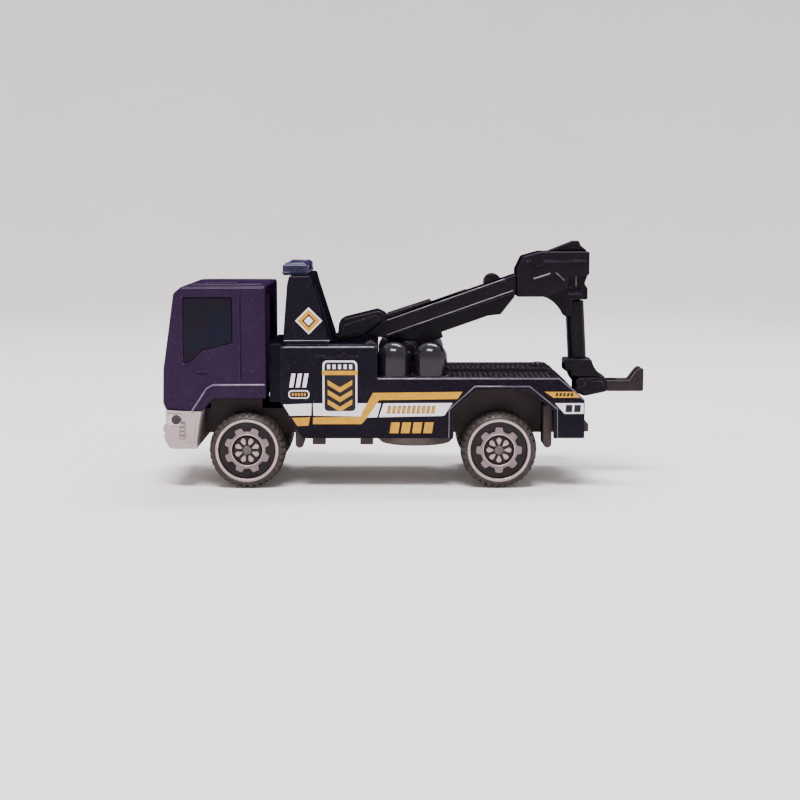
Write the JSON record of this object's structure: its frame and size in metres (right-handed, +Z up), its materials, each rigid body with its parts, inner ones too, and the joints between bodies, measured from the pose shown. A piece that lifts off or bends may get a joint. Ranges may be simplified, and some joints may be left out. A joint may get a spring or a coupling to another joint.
{
  "type": "toy tow truck",
  "caption": "Pocket toy tow truck: cab-over lorry with side lockers, lifting and sliding crane boom, swivelling drop arm and tilting tow fork.",
  "frame": {"origin": "on the floor under the middle of the truck's bounding box", "axes": "+X towards the tow fork at the rear, the cab faces -X, +Y to the truck's right side, +Z up"},
  "size_m": [0.0988, 0.033, 0.0494],
  "materials": {
    "cab_paint": "gloss midnight indigo enamel",
    "body_paint": "gloss blue-black enamel",
    "dark_glazing": "polished dark tint",
    "bumper_plastic": "satin light grey",
    "headlight_lens": "clear lens over facets",
    "base_plastic": "satin mid grey",
    "spare_plastic": "satin mid grey",
    "rivet_steel": "turned steel",
    "axle_steel": "drawn steel",
    "pin_steel": "blackened steel",
    "rim_plastic": "black with hot-stamped silver",
    "tyre_rubber": "matt black tread",
    "deck_plastic": "satin black chequered",
    "dome_plastic": "polished black",
    "beacon_plastic": "gloss dark blue",
    "boom_plastic": "gloss black",
    "fork_plastic": "satin black"
  },
  "bodies": {
    "truck": {"cab_shell": "cab_paint", "cab_glazing": "dark_glazing", "front_bumper": "bumper_plastic", "headlight_left": "headlight_lens", "headlight_right": "headlight_lens", "chassis_base": "base_plastic", "chassis_rivets": "rivet_steel", "spare_wheel": "spare_plastic", "tow_body": "body_paint", "deck_plate": "deck_plastic", "deck_stud": "deck_plastic", "dome_left_front": "dome_plastic", "dome_left_rear": "dome_plastic", "ribbed_cap_left": "deck_plastic", "dome_right_front": "dome_plastic", "dome_right_rear": "dome_plastic", "ribbed_cap_right": "deck_plastic", "tower": "body_paint", "light_bar": "beacon_plastic", "boom_bracket": "boom_plastic", "boom_pin": "pin_steel"},
    "front_wheelset": {"front_axle": "axle_steel", "front_rim_left": "rim_plastic", "front_rim_right": "rim_plastic", "front_tyre_left": "tyre_rubber", "front_tyre_right": "tyre_rubber"},
    "rear_wheelset": {"rear_axle": "axle_steel", "rear_rim_left": "rim_plastic", "rear_rim_right": "rim_plastic", "rear_tyre_left": "tyre_rubber", "rear_tyre_right": "tyre_rubber"},
    "boom": {"boom_beam": "boom_plastic", "winch_housing": "boom_plastic", "boom_top_plate": "boom_plastic", "boom_knob": "boom_plastic"},
    "boom_extension": {"boom_inner": "boom_plastic", "boom_head": "boom_plastic", "head_knob_left": "boom_plastic", "head_knob_right": "boom_plastic", "head_horn": "boom_plastic"},
    "drop_arm": {"drop_rod": "boom_plastic", "lower_bracket": "boom_plastic", "hook_pin": "pin_steel"},
    "hook": {"hook_carrier": "boom_plastic", "tow_fork": "fork_plastic"}
  },
  "joints": [
    {"name": "front_axle_spin", "type": "hinge", "parent": "truck", "child": "front_wheelset", "pos_m": [-0.03231, 0, 0.0077], "axis": [0, 1, 0], "continuous": true},
    {"name": "rear_axle_spin", "type": "hinge", "parent": "truck", "child": "rear_wheelset", "pos_m": [0.01839, 0, 0.0077], "axis": [0, 1, 0], "continuous": true},
    {"name": "boom_lift", "type": "hinge", "parent": "truck", "child": "boom", "pos_m": [0.0005, 0, 0.02711], "axis": [0, -1, 0], "range_deg": [0, 16]},
    {"name": "boom_extend", "type": "slide", "parent": "boom", "child": "boom_extension", "axis": [0.9432, 0, 0.3322], "range_m": [0, 0.009]},
    {"name": "arm_swivel", "type": "hinge", "parent": "boom_extension", "child": "drop_arm", "pos_m": [0.03565, 0, 0.0249], "axis": [-0.0593, 0, 0.9982], "range_deg": [-25, 25]},
    {"name": "fork_tilt", "type": "hinge", "parent": "drop_arm", "child": "hook", "pos_m": [0.036, 0, 0.01987], "axis": [0, 1, 0], "range_deg": [0, 35]}
  ]
}
